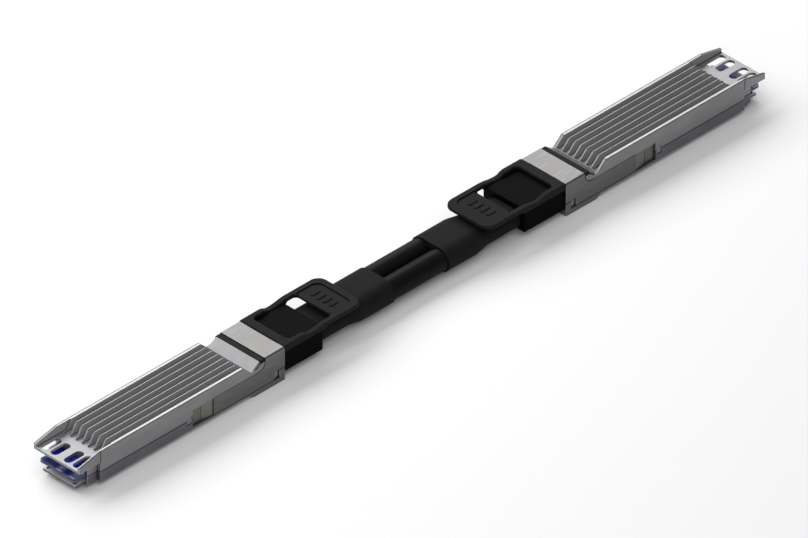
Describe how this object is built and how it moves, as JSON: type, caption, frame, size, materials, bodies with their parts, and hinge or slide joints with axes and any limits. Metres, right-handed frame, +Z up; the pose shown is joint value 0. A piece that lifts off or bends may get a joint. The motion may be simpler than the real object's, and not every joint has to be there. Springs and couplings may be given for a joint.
{
  "type": "direct attach copper cable",
  "caption": "Short direct attach copper cable: finned metal plug modules with pull-tab release sliders, joined by round black cables in moulded strain reliefs.",
  "frame": {"origin": "midway between the two modules, on the plane that their feet rest on", "axes": "+X along the cable towards module b, +Y across it, +Z up from the feet towards the fins"},
  "size_m": [0.3404, 0.0226, 0.0146],
  "materials": {
    "die_cast_shell": "satin nickel-plated zinc die casting",
    "sheet_steel": "stamped stainless sheet, fine satin",
    "moulded_tab": "fine matt moulded texture",
    "conductive_rubber": "matt conductive elastomer",
    "spring_steel": "bright drawn wire",
    "circuit_card": "glossy blue solder mask",
    "gold_contacts": "hard gold plating",
    "screw_steel": "zinc-plated steel",
    "moulded_block": "fine matt moulded texture",
    "soft_boot": "soft matt overmoulding",
    "tinned_braid": "tinned copper braid over insulated pairs",
    "crimp_metal": "hexagonally crimped brass",
    "pair_insulation": "foil-wrapped pairs",
    "cable_jacket": "satin extruded jacket"
  },
  "bodies": {
    "housing": {"bottom_shell_a": "die_cast_shell", "bottom_shell_b": "die_cast_shell", "top_shell_a": "die_cast_shell", "top_shell_b": "die_cast_shell", "emi_gasket_a": "conductive_rubber", "emi_gasket_b": "conductive_rubber", "return_springs_a": "spring_steel", "return_springs_b": "spring_steel", "paddle_card_a": "circuit_card", "paddle_card_b": "circuit_card", "contact_pads_a": "gold_contacts", "contact_pads_b": "gold_contacts", "housing_screw_a": "screw_steel", "housing_screw_b": "screw_steel", "rear_block_a": "moulded_block", "rear_block_b": "moulded_block", "strain_relief_a": "soft_boot", "strain_relief_b": "soft_boot", "shielded_cores_a": "tinned_braid", "shielded_cores_b": "tinned_braid", "crimp_rings_a": "crimp_metal", "crimp_rings_b": "crimp_metal", "twinax_pairs_a": "pair_insulation", "twinax_pairs_b": "pair_insulation", "cable_near": "cable_jacket", "cable_far": "cable_jacket"},
    "release_a": {"release_slider_a": "sheet_steel", "pull_tab_a": "moulded_tab"},
    "release_b": {"release_slider_b": "sheet_steel", "pull_tab_b": "moulded_tab"}
  },
  "joints": [
    {"name": "release_slide_a", "type": "slide", "parent": "housing", "child": "release_a", "axis": [1, 0, 0], "range_m": [0, 0.0023], "stiffness_N_per_m": 600, "springref_m": -0.001, "deforming": ["return_springs_a"]},
    {"name": "release_slide_b", "type": "slide", "parent": "housing", "child": "release_b", "axis": [-1, 0, 0], "range_m": [0, 0.0023], "stiffness_N_per_m": 600, "springref_m": -0.001, "deforming": ["return_springs_b"]}
  ]
}
